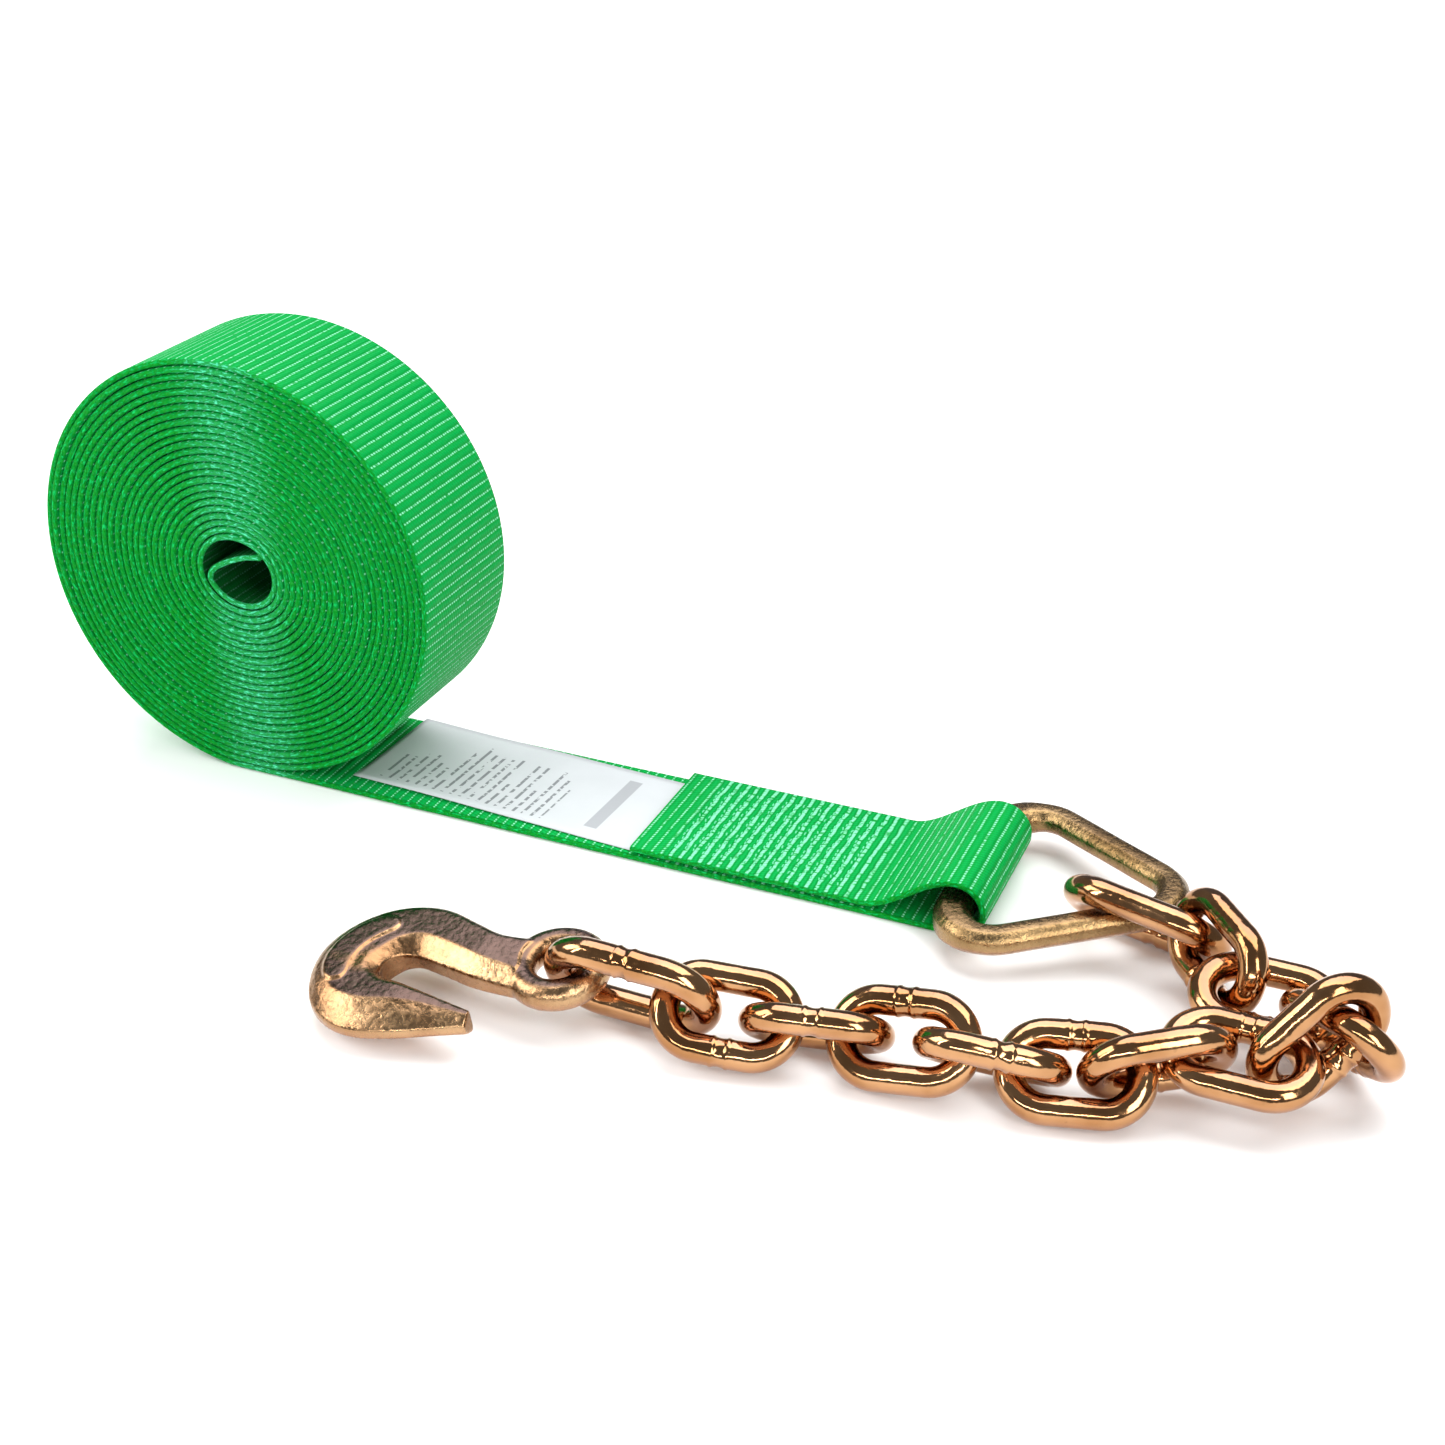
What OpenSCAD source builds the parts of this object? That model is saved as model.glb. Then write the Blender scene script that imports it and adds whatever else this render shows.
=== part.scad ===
// Rolled tie-down strap with a delta ring, a short welded chain and a grab hook.
// X runs along the strap from the roll to the ring, Y across the strap, Z is up.
// The origin is on the resting surface, under the roll's centre, at mid-width. Units are mm.

/* [Webbing] */
// Width of the webbing, nominal two inches
web_w = 50.8; // [40:0.1:60]
// Thickness of one layer
web_t = 2.2; // [1.5:0.1:3]
// Outer radius of the wound roll
roll_r = 73; // [50:0.5:90]
// Depth by which the roll is flattened where it rests
roll_sink = 0.7; // [0.2:0.1:2]
// Distance from the roll's centre to the ring's bar
bar_x = 244; // [200:1:300]
// Distance from the roll's centre to the cut end of the fold
cut_x = 139; // [120:1:170]
// Where the upper layer leaves the lower one to go over the bar
lift_x = 215; // [190:1:230]
// Gap between the two layers, which holds the label's edge
ply_gap = 0.6; // [0.3:0.1:1]

/* [Label] */
// Length of the label
label_l = 112; // [90:1:130]
// Width of the label
label_w = 44; // [35:1:50]
// Thickness of the label
label_t = 0.4; // [0.2:0.1:0.5]
// Skew of the label on the strap, degrees
label_skew = -3; // [-6:0.5:6]

/* [Stitching] */
// Number of wavy rows
seam_rows = 6; // [3:1:8]
// Length of one wave
seam_pitch = 9; // [6:0.5:14]
// Width of a thread row
seam_w = 1.0; // [0.6:0.1:1.5]
// Height of the thread above the webbing
seam_h = 0.5; // [0.3:0.1:0.8]

/* [Delta ring] */
// Inside width of the ring at its bar
ring_in_w = 61; // [54:0.5:70]
// Width of the bar's section in the ring's plane
ring_bar_w = 11; // [8:0.5:13]
// Thickness of the bar's section
ring_bar_t = 9.5; // [8:0.5:12]
// Width of the other sides' section in the ring's plane
ring_arm_w = 9.4; // [7:0.1:13]
// Thickness of the other sides' section
ring_arm_t = 8; // [6:0.1:12]
// Edge bevel of both sections
ring_bevel = 2.4; // [1:0.1:3.5]
// Angle between each side and the strap's direction, degrees
ring_side = 34; // [25:1:45]
// Centre-line radius of the two corners at the bar
ring_corner_r = 12; // [9:0.5:16]
// Centre-line radius of the narrow end
ring_tip_r = 13; // [9:0.5:16]
// Height of the bar's axis above the resting surface
bar_z = 9.0; // [8:0.1:12]
// Offset of the ring across the strap
ring_y = -1.5; // [-3:0.1:3]
// Rise of the ring's narrow end, degrees
ring_rise = 4.5; // [0:0.5:15]

/* [Chain] */
// Wire of a common link
link_d = 8.2; // [6:0.1:10]
// Inside length of a common link
link_in_l = 26; // [20:0.5:32]
// Inside width of a common link
link_in_w = 12; // [10:0.1:14]
// Wire of the two long coupling links
long_d = 8.7; // [7:0.1:11]
// Inside length of a long link
long_in_l = 34.6; // [30:0.2:40]
// Inside width of a long link
long_in_w = 14.4; // [12:0.2:17]
// Height of the weld's upset over the wire
weld_h = 0.2; // [0:0.1:0.8]
// Length of the weld's upset
weld_l = 4; // [2:0.5:6]

/* [Grab hook] */
// Thickness of the forging
hook_t = 12; // [9:0.5:16]
// Centre-line radius of the eye
eye_r = 10.5; // [9:0.5:14]
// Section radius of the eye
eye_wire = 4.4; // [3.5:0.1:6]
// Height of the raised pad on the bend
pad_h = 0.8; // [0.4:0.1:1.2]

/* [Hidden] */
$fn = 64;

green = [0.02, 0.55, 0.20];
thread = [0.25, 0.75, 0.45];
paper = [0.90, 0.90, 0.90];
gold = [0.72, 0.52, 0.28];

// Sizes of a link as [wire, inside length, inside width].
common = [link_d, link_in_l, link_in_w];
long = [long_d, long_in_l, long_in_w];

// How each link lies on the one before it, in degrees and mm:
// [slide along the crown, swing about its wire, lean, twist, slack].
lay = [
  [0, 6, 41, 38, 10.2],
  [34, -27, -10, 21, 1.6],
  [12, -51, -22, 15, 3],
  [-28, -36, -12, 17, 1.2],
  [73, -99, 17, 5, 1.2],
  [-45, 36, -1, -15, 3.6],
  [31, -2, 0, -15, 4],
  [-13, -17, 8, -7, 4.6],
  [11, 14, -6, -9, 4.2],
  [23, -5, 1, -1, 2.2],
  [-4, -10, 4, 5, 2.2],
  [0, -3, 5, 4, 1.8],
  [13, -11, -6, 15, 2.8],
];
// Place of the first link along the ring's side, from corner (0) to narrow end (1).
ring_seat = 0.96;
// How the hook lies on the last link, as for the links.
hook_lay = [6, 0, -1, 14, 1];

function size_of(i) = (i == 0 || i == len(lay) - 1) ? long : common;
function crown_r(s) = (s[2] + s[0]) / 2;
function crown_x(s) = (s[1] + s[0]) / 2 - crown_r(s);

// Overlap where two stretches of one forging meet.
joint_lap = 0.02;

ring_half = (ring_in_w + ring_bar_w) / 2;
corner_y = ring_half - ring_corner_r;
side_x0 = ring_corner_r + ring_corner_r * sin(ring_side);
side_y0 = corner_y + ring_corner_r * cos(ring_side);
tip_x = (side_x0 * sin(ring_side) + side_y0 * cos(ring_side) - ring_tip_r) / sin(ring_side);
side_x1 = tip_x + ring_tip_r * sin(ring_side);
side_y1 = ring_tip_r * cos(ring_side);
side_len = norm([side_x1 - side_x0, side_y1 - side_y0]);

// Closed outline of a strip of the given half width along a path of [x, y] points.
function unit(v) = v / norm(v);
function heading(p, i) =
  unit(p[min(i + 1, len(p) - 1)] - p[max(i - 1, 0)]);
function beside(p, i, d) = p[i] + d * [-heading(p, i)[1], heading(p, i)[0]];
function strip(p, w) = concat(
  [for (i = [0 : len(p) - 1]) beside(p, i, w[i])],
  [for (i = [len(p) - 1 : -1 : 0]) beside(p, i, -w[i])]
);
function even(p, w) = [for (i = [0 : len(p) - 1]) w];

// Smooth step from 0 to 1.
function ease(t) = t * t * (3 - 2 * t);

// Path of the fold, from its cut end over the bar and back under it.
loop_r = 7.6 + web_t / 2;
upper_z = web_t * 1.5 + ply_gap;
top_z = bar_z + loop_r;
low_z = web_t / 2;
fold_steps = 16;
fold_path = concat(
  [[cut_x, upper_z], [lift_x, upper_z]],
  [for (k = [1 : fold_steps])
    [lift_x + (bar_x - lift_x) * k / fold_steps,
     upper_z + (top_z - upper_z) * ease(k / fold_steps)]],
  [for (a = [80 : -10 : -50]) [bar_x + loop_r * cos(a), bar_z + loop_r * sin(a)]],
  [[bar_x + 3, low_z], [bar_x - 4, low_z], [0, low_z]]
);

module webbing() {
  color(green) difference() {
    union() {
      translate([0, 0, roll_r - roll_sink])
        rotate([90, 0, 0]) cylinder(r = roll_r, h = web_w, center = true);
      across(web_w) polygon(strip(fold_path, even(fold_path, web_t / 2)));
    }
    translate([0, 0, -roll_r]) cube([3 * roll_r, 2 * web_w, 2 * roll_r], center = true);
    core_slots();
  }
}

// Draws an outline of [x, z] points across the strap.
module across(w) {
  rotate([90, 0, 0]) linear_extrude(height = w, center = true) children();
}

// The two openings that the winding fork leaves beside the strap's inner end.
module core_slots() {
  slot = [[8, -1, 17, 8, 20], [-1, 10, 11, 5, 25]];
  for (s = slot)
    translate([s[0], 0, roll_r + s[1]])
      rotate([0, -s[4], 0])
        across(2 * web_w) intersection() {
          square([s[2], s[3]], center = true);
          circle(d = s[2] + 1);
        }
}

module label() {
  label_x = cut_x + 8 - label_l;
  color(paper)
    translate([label_x + label_l / 2, 1, web_t + ply_gap / 2])
      rotate([0, 0, label_skew])
        cube([label_l, label_w, label_t], center = true);
}

// Wavy thread rows along the fold, closed by a row across at each end.
module stitching() {
  seam_x0 = cut_x + 12;
  seam_l = lift_x - seam_x0 - 2;
  spread = web_w - 14;
  color(thread)
    translate([seam_x0, 0, 2 * web_t + ply_gap]) {
      for (k = [0 : seam_rows - 1])
        translate([0, spread * (k / (seam_rows - 1) - 0.5), 0])
          linear_extrude(height = seam_h) wave(seam_l);
      for (x = [0, seam_l])
        translate([x, 0, seam_h / 2]) cube([2 * seam_w, spread + 3 * seam_w, seam_h], center = true);
    }
}

module wave(l) {
  step = seam_pitch / 6;
  path = [for (x = [0 : step : l]) [x, 2 * sin(360 * x / seam_pitch)]];
  polygon(strip(path, even(path, seam_w / 2)));
}

// Section of the ring, a rectangle with bevelled edges.
module ring_section(w, t) {
  a = w / 2;
  b = t / 2;
  c = ring_bevel;
  polygon([[a, b - c], [a - c, b], [c - a, b], [-a, b - c],
           [-a, c - b], [c - a, -b], [a - c, -b], [a, c - b]]);
}

module arm_section() { ring_section(ring_arm_w, ring_arm_t); }

module delta_ring() {
  color(gold) at_ring() {
    rotate([90, 0, 0])
      linear_extrude(height = 2 * (corner_y + joint_lap), center = true) ring_section(ring_bar_w, ring_bar_t);
    for (m = [0, 1]) mirror([0, m, 0]) {
      translate([ring_corner_r, corner_y, 0])
        rotate([0, 0, 90 - ring_side])
          rotate_extrude(angle = 90 + ring_side) translate([ring_corner_r, 0]) arm_section();
      translate([(side_x0 + side_x1) / 2, (side_y0 + side_y1) / 2, 0])
        rotate([0, 0, -ring_side]) rotate([90, 0, 90])
          linear_extrude(height = side_len + 2 * joint_lap, center = true) arm_section();
    }
    translate([tip_x, 0, 0])
      rotate([0, 0, ring_side - 90])
        rotate_extrude(angle = 180 - 2 * ring_side) translate([ring_tip_r, 0]) arm_section();
  }
}

// Moves what follows to the bar's axis.
module at_ring() {
  translate([bar_x, ring_y, bar_z]) rotate([0, -ring_rise, 0]) children();
}

// One welded link, its long axis on X and its width on Y.
module link(s) {
  r = crown_r(s);
  x = crown_x(s);
  for (m = [0, 180]) rotate([0, 0, m]) {
    translate([0, r, 0]) rotate([0, 90, 0]) cylinder(d = s[0], h = 2 * x, center = true);
    translate([x, 0, 0]) rotate([0, 0, -90])
      rotate_extrude(angle = 180) translate([r, 0]) circle(d = s[0]);
  }
  translate([0, -r, 0]) rotate([0, 90, 0])
    cylinder(d = s[0] + 2 * weld_h, h = weld_l, center = true);
}

// Places what follows on the crown before it, by one row of the lay.
module hang(l, reach) {
  rotate([0, l[1], 0]) rotate([90, 0, 0]) rotate([0, l[2], 0]) rotate([l[3], 0, 0])
    translate([reach - l[4], 0, 0]) children();
}

// Places what follows where link i lies, by following the chain from the ring.
module reach(i) {
  if (i == 0)
    at_ring()
      translate([side_x0 + (side_x1 - side_x0) * ring_seat,
                 -side_y0 - (side_y1 - side_y0) * ring_seat, 0])
        rotate([0, 0, ring_side - 90])
          hang(lay[0], (long_in_l - ring_arm_w) / 2) children();
  else
    reach(i - 1) on_crown(size_of(i - 1), lay[i][0])
      hang(lay[i], (size_of(i)[1] - size_of(i - 1)[0]) / 2) children();
}

// Moves what follows to the wire of a link's far crown.
module on_crown(s, slide) {
  translate([crown_x(s), 0, 0]) rotate([0, 0, slide]) translate([crown_r(s), 0, 0]) children();
}

module chain_piece(i) {
  color(gold) reach(i) link(size_of(i));
}

module ring_link() { chain_piece(0); }
module chain_link(i) { chain_piece(i); }
module hook_link() { chain_piece(len(lay) - 1); }

// Middle line of the hook's body as [x, y, half width], from the eye to the point.
hook_line = [
  [9, 3.5, 9], [20, 4, 8], [30, 2, 8.3], [40, 0.2, 9], [48.5, 2.6, 9.3], [54.5, 9, 9.6],
  [56.5, 17.5, 9.8], [53.5, 26, 9.8], [46, 30.2, 9.4], [36, 29.8, 8], [25, 28.3, 5.4], [13.5, 26.8, 2.4]
];
smooth_steps = 5;
// Point k/smooth_steps of the way along the smooth curve between stations i and i + 1.
function curve(p, i, t) =
  let (a = p[max(i - 1, 0)], b = p[i], c = p[i + 1], d = p[min(i + 2, len(p) - 1)])
  0.5 * (2 * b + (c - a) * t + (2 * a - 5 * b + 4 * c - d) * t * t
         + (3 * b - a - 3 * c + d) * t * t * t);
hook_curve = [for (i = [0 : len(hook_line) - 2], k = [0 : smooth_steps - 1])
  curve(hook_line, i, k / smooth_steps)];

module hook_outline(grow, first, last) {
  p = [for (i = [first : last]) [hook_curve[i][0], hook_curve[i][1]]];
  w = [for (i = [first : last]) hook_curve[i][2] + grow];
  polygon(strip(p, w));
}

// The forging is built in layers that step in towards its two faces.
module hook_body() {
  last = len(hook_curve) - 1;
  steps = [[0, 1.5, -1.4], [1.5, 1.5, -0.5], [3, hook_t - 6, 0], [hook_t - 3, 1.5, -0.5],
           [hook_t - 1.5, 1.5, -1.4]];
  translate([0, 0, -hook_t / 2]) {
    for (s = steps) translate([0, 0, s[0]])
      linear_extrude(height = s[1]) hook_outline(s[2], 0, last);
    translate([0, 0, hook_t]) linear_extrude(height = pad_h)
      hook_outline(-4.5, 4 * smooth_steps, 7 * smooth_steps);
  }
}

module grab_hook() {
  color(gold) at_hook() {
    rotate_extrude() translate([eye_r, 0]) circle(r = eye_wire);
    difference() {
      hook_body();
      cylinder(r = eye_r, h = 3 * hook_t, center = true);
    }
  }
}

// Places the hook on the last link, its eye around that link's crown.
module at_hook() {
  last = len(lay) - 1;
  reach(last) on_crown(size_of(last), hook_lay[0])
    hang(hook_lay, eye_r - eye_wire - long_d / 2) children();
}

webbing();
label();
stitching();
delta_ring();
ring_link();
chain_link(1);  // chain_link_01
chain_link(2);  // chain_link_02
chain_link(3);  // chain_link_03
chain_link(4);  // chain_link_04
chain_link(5);  // chain_link_05
chain_link(6);  // chain_link_06
chain_link(7);  // chain_link_07
chain_link(8);  // chain_link_08
chain_link(9);  // chain_link_09
chain_link(10);  // chain_link_10
chain_link(11);  // chain_link_11
hook_link();
grab_hook();
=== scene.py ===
import math

import bmesh
import bpy
import numpy as np
from mathutils import Matrix, Vector


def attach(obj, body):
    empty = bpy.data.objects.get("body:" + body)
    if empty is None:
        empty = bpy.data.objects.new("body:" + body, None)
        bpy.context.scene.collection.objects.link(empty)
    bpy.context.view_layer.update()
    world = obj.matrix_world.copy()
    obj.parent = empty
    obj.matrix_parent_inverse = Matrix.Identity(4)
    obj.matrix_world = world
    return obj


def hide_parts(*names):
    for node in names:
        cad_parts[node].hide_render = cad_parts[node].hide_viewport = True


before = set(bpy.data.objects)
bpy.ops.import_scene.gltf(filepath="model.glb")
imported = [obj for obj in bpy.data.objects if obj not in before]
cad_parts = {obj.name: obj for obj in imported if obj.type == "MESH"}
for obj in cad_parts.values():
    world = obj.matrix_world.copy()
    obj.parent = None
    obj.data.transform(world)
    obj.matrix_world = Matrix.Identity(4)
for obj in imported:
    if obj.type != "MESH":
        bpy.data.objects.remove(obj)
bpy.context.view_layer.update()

MM = 0.001

# ---------------------------------------------------------------- dimensions (mm)
WEB_W = 50.8          # webbing width
WEB_T = 2.06          # visible thickness of one layer
LAYER_T = 2.2         # nominal thickness, as the frame has it
ROLL_R = 73.0         # outer radius of the roll
ROLL_SINK = 0.7       # how far the roll is flattened on the surface
BAR_X = 244.0         # ring bar from the roll's centre
CUT_X = 139.0         # cut end of the fold
LIFT_X = 215.0        # where the upper layer rises towards the bar
PLY_GAP = 0.6         # between the two layers of the fold
BAR_Z = 9.0
LOOP_R = 7.6 + LAYER_T / 2   # bend of the webbing's centre line about the bar
LAY_Z = LAYER_T / 2   # centre of the layer on the surface
UPPER_Z = 1.5 * LAYER_T + PLY_GAP
CORE_R = 11.7         # innermost full turn of the roll
ROLL_START = 200      # angle in degrees at which that turn starts
ROLL_TURNS = 25 + 70 / 360
RIB = 3.2             # spacing of the cross ribs
YARN = 1.25           # spacing of the slanting yarns
LABEL_L = 112.0
LABEL_W = 44.0
RULE = 3.4            # spacing of the generic rules on the label

RING_HALF = 36.0      # half of the bar's centre line
RING_BAR = (11.0, 9.5)  # width and thickness at the bar
RING_ARM = (9.4, 8.0)   # and of the other two sides
SKIN_IN = 0.15        # the skin lies this much inside the frame's section
RING_CORNER = 12.0
RING_TIP = 13.0
RING_BEVEL = 2.4
RING_SIDE = math.radians(34)
RING_RISE = 4.5
RING_Y = -1.5
RING_SEAT = 0.96

COMMON = (8.2, 26.0, 12.0)   # wire, inside length, inside width of a link
LONG = (8.7, 34.6, 14.4)
# Lie of each link on the one before: slide, swing, lean, twist (degrees), slack (mm).
LAY = [
    (0, 6, 41, 38, 10.2),
    (34, -27, -10, 21, 1.6),
    (12, -51, -22, 15, 3),
    (-28, -36, -12, 17, 1.2),
    (73, -99, 17, 5, 1.2),
    (-45, 36, -1, -15, 3.6),
    (31, -2, 0, -15, 4),
    (-13, -17, 8, -7, 4.6),
    (11, 14, -6, -9, 4.2),
    (23, -5, 1, -1, 2.2),
    (-4, -10, 4, 5, 2.2),
    (0, -3, 5, 4, 1.8),
    (13, -11, -6, 15, 2.8),
]
HOOK_LAY = (6, 0, -1, 14, 1)
LINKS = ["ring_link"] + ["chain_link_%02d" % i for i in range(1, 12)] + ["hook_link"]

EYE_R = 10.5          # centre line of the hook's eye
EYE_WIRE = 4.4        # section radius of the eye
HOOK_T = 12.0         # thickness of the hook
PAD_TOP = HOOK_T / 2 + 0.75
VOXEL = 0.55          # fineness of the hook's skin
WELD_FAR = 99         # marks points of a link that are far from its weld

rng = np.random.default_rng(7)


# ---------------------------------------------------------------- small helpers
def turn(axis, degrees):
    return Matrix.Rotation(math.radians(degrees), 4, axis)


def shift(x, y, z):
    return Matrix.Translation((x, y, z))


def smooth(t):
    t = min(max(t, 0.0), 1.0)
    return t * t * (3 - 2 * t)


def wander(count, step, amount, seed):
    """A smooth random walk of `count` values that changes over about `step` of them."""
    gen = np.random.default_rng(seed)
    knots = gen.normal(size=count // step + 4) * amount
    x = np.arange(count) / step
    i = x.astype(int)
    f = x - i
    f = f * f * (3 - 2 * f)
    return knots[i] * (1 - f) + knots[i + 1] * f


def catmull(points, per):
    """A smooth curve through the points, `per` steps between neighbours."""
    p = [np.array(q, float) for q in points]
    out = []
    for i in range(len(p) - 1):
        a, b, c, d = p[max(i - 1, 0)], p[i], p[i + 1], p[min(i + 2, len(p) - 1)]
        for k in range(per):
            t = k / per
            out.append(0.5 * (2 * b + (c - a) * t + (2 * a - 5 * b + 4 * c - d) * t * t
                              + (3 * b - a - 3 * c + d) * t ** 3))
    out.append(p[-1])
    return np.array(out)


def new_object(name, verts, faces, uvs=None):
    """A smooth-shaded mesh object with its faces turned outwards."""
    mesh = bpy.data.meshes.new(name)
    mesh.from_pydata([tuple(v) for v in verts], [], faces)
    if uvs is not None:
        layer = mesh.uv_layers.new(name="UVMap")
        layer.data.foreach_set("uv", np.asarray(uvs, float).ravel())
    mesh.polygons.foreach_set("use_smooth", [True] * len(mesh.polygons))
    shell = bmesh.new()
    shell.from_mesh(mesh)
    bmesh.ops.recalc_face_normals(shell, faces=shell.faces)
    shell.to_mesh(mesh)
    shell.free()
    mesh.update()
    obj = bpy.data.objects.new(name, mesh)
    bpy.context.collection.objects.link(obj)
    return obj


def place(obj, matrix):
    """Puts a mesh made in mm in its place, in metres, with its object left at the origin."""
    obj.data.transform(Matrix.Scale(MM, 4) @ matrix)
    return obj


def dress(obj, material, body, slot, *nodes):
    obj.data.materials.append(material)
    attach(obj, body)
    if nodes:
        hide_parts(*nodes)
    return obj


def tube(name, centres, normals, sections, closed):
    """A skin over rings of points: sections[i] is a list of (across, up) at centre i."""
    verts, faces, uvs = [], [], []
    n, m = len(centres), len(sections[0])
    run = 0.0
    runs = [0.0]
    for i in range(1, n + 1):
        run += float(np.linalg.norm(centres[i % n] - centres[i - 1]))
        runs.append(run)
    for c, (side, up), sec in zip(centres, normals, sections):
        for a, b in sec:
            verts.append(c + side * a + up * b)
    for i in range(n if closed else n - 1):
        j = (i + 1) % n
        for k in range(m):
            q = (k + 1) % m
            faces.append((i * m + k, j * m + k, j * m + q, i * m + q))
            uvs += [(runs[i] * MM, k / m), (runs[i + 1] * MM, k / m),
                    (runs[i + 1] * MM, (k + 1) / m), (runs[i] * MM, (k + 1) / m)]
    if not closed:
        faces.append(tuple(range(m)))
        faces.append(tuple((n - 1) * m + k for k in range(m - 1, -1, -1)))
        uvs += [(0, 0)] * (2 * m)
    return new_object(name, verts, faces, uvs)


# ---------------------------------------------------------------- shader helpers
class Nodes:
    """A short way to write a material's nodes."""

    def __init__(self, name):
        self.mat = bpy.data.materials.new(name)
        self.mat.use_nodes = True
        self.tree = self.mat.node_tree
        self.bsdf = self.tree.nodes["Principled BSDF"]

    def add(self, kind, **values):
        node = self.tree.nodes.new(kind)
        for key, value in values.items():
            setattr(node, key, value)
        return node

    def link(self, a, b):
        self.tree.links.new(a, b)

    def put(self, socket, value):
        if isinstance(value, (int, float)):
            socket.default_value = value
        elif isinstance(value, (tuple, list)):
            socket.default_value = tuple(value) + ((1.0,) if len(value) == 3 and
                                                   socket.type == "RGBA" else ())
        else:
            self.link(value, socket)

    def math(self, op, a, b=0.0, c=0.0):
        node = self.add("ShaderNodeMath", operation=op)
        for socket, value in zip(node.inputs, (a, b, c)):
            self.put(socket, value)
        return node.outputs[0]

    def ramp(self, value, low, high, out_low=0.0, out_high=1.0):
        node = self.add("ShaderNodeMapRange", interpolation_type="SMOOTHSTEP")
        for socket, v in zip(node.inputs, (value, low, high, out_low, out_high)):
            self.put(socket, v)
        return node.outputs[0]

    def mix(self, factor, a, b):
        node = self.add("ShaderNodeMix", data_type="RGBA")
        self.put(node.inputs[0], factor)
        self.put(node.inputs[6], a)
        self.put(node.inputs[7], b)
        return node.outputs[2]

    def noise(self, vector, scale, detail=3.0, rough=0.5):
        node = self.add("ShaderNodeTexNoise")
        self.link(vector, node.inputs["Vector"])
        node.inputs["Scale"].default_value = scale
        node.inputs["Detail"].default_value = detail
        node.inputs["Roughness"].default_value = rough
        return node.outputs["Fac"]

    def object_space(self):
        return self.add("ShaderNodeTexCoord").outputs["Object"]

    def object_up(self):
        coord = self.add("ShaderNodeTexCoord")
        parts = self.add("ShaderNodeSeparateXYZ")
        self.link(coord.outputs["Normal"], parts.inputs[0])
        return parts.outputs[2]

    def uv(self):
        parts = self.add("ShaderNodeSeparateXYZ")
        self.link(self.add("ShaderNodeTexCoord").outputs["UV"], parts.inputs[0])
        return parts.outputs[0], parts.outputs[1]

    def combine(self, x, y, z=0.0):
        node = self.add("ShaderNodeCombineXYZ")
        for socket, v in zip(node.inputs, (x, y, z)):
            self.put(socket, v)
        return node.outputs[0]

    def bump(self, height, strength, distance, below=None):
        node = self.add("ShaderNodeBump")
        node.inputs["Strength"].default_value = strength
        node.inputs["Distance"].default_value = distance
        self.link(height, node.inputs["Height"])
        if below is not None:
            self.link(below, node.inputs["Normal"])
        return node.outputs[0]


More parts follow.
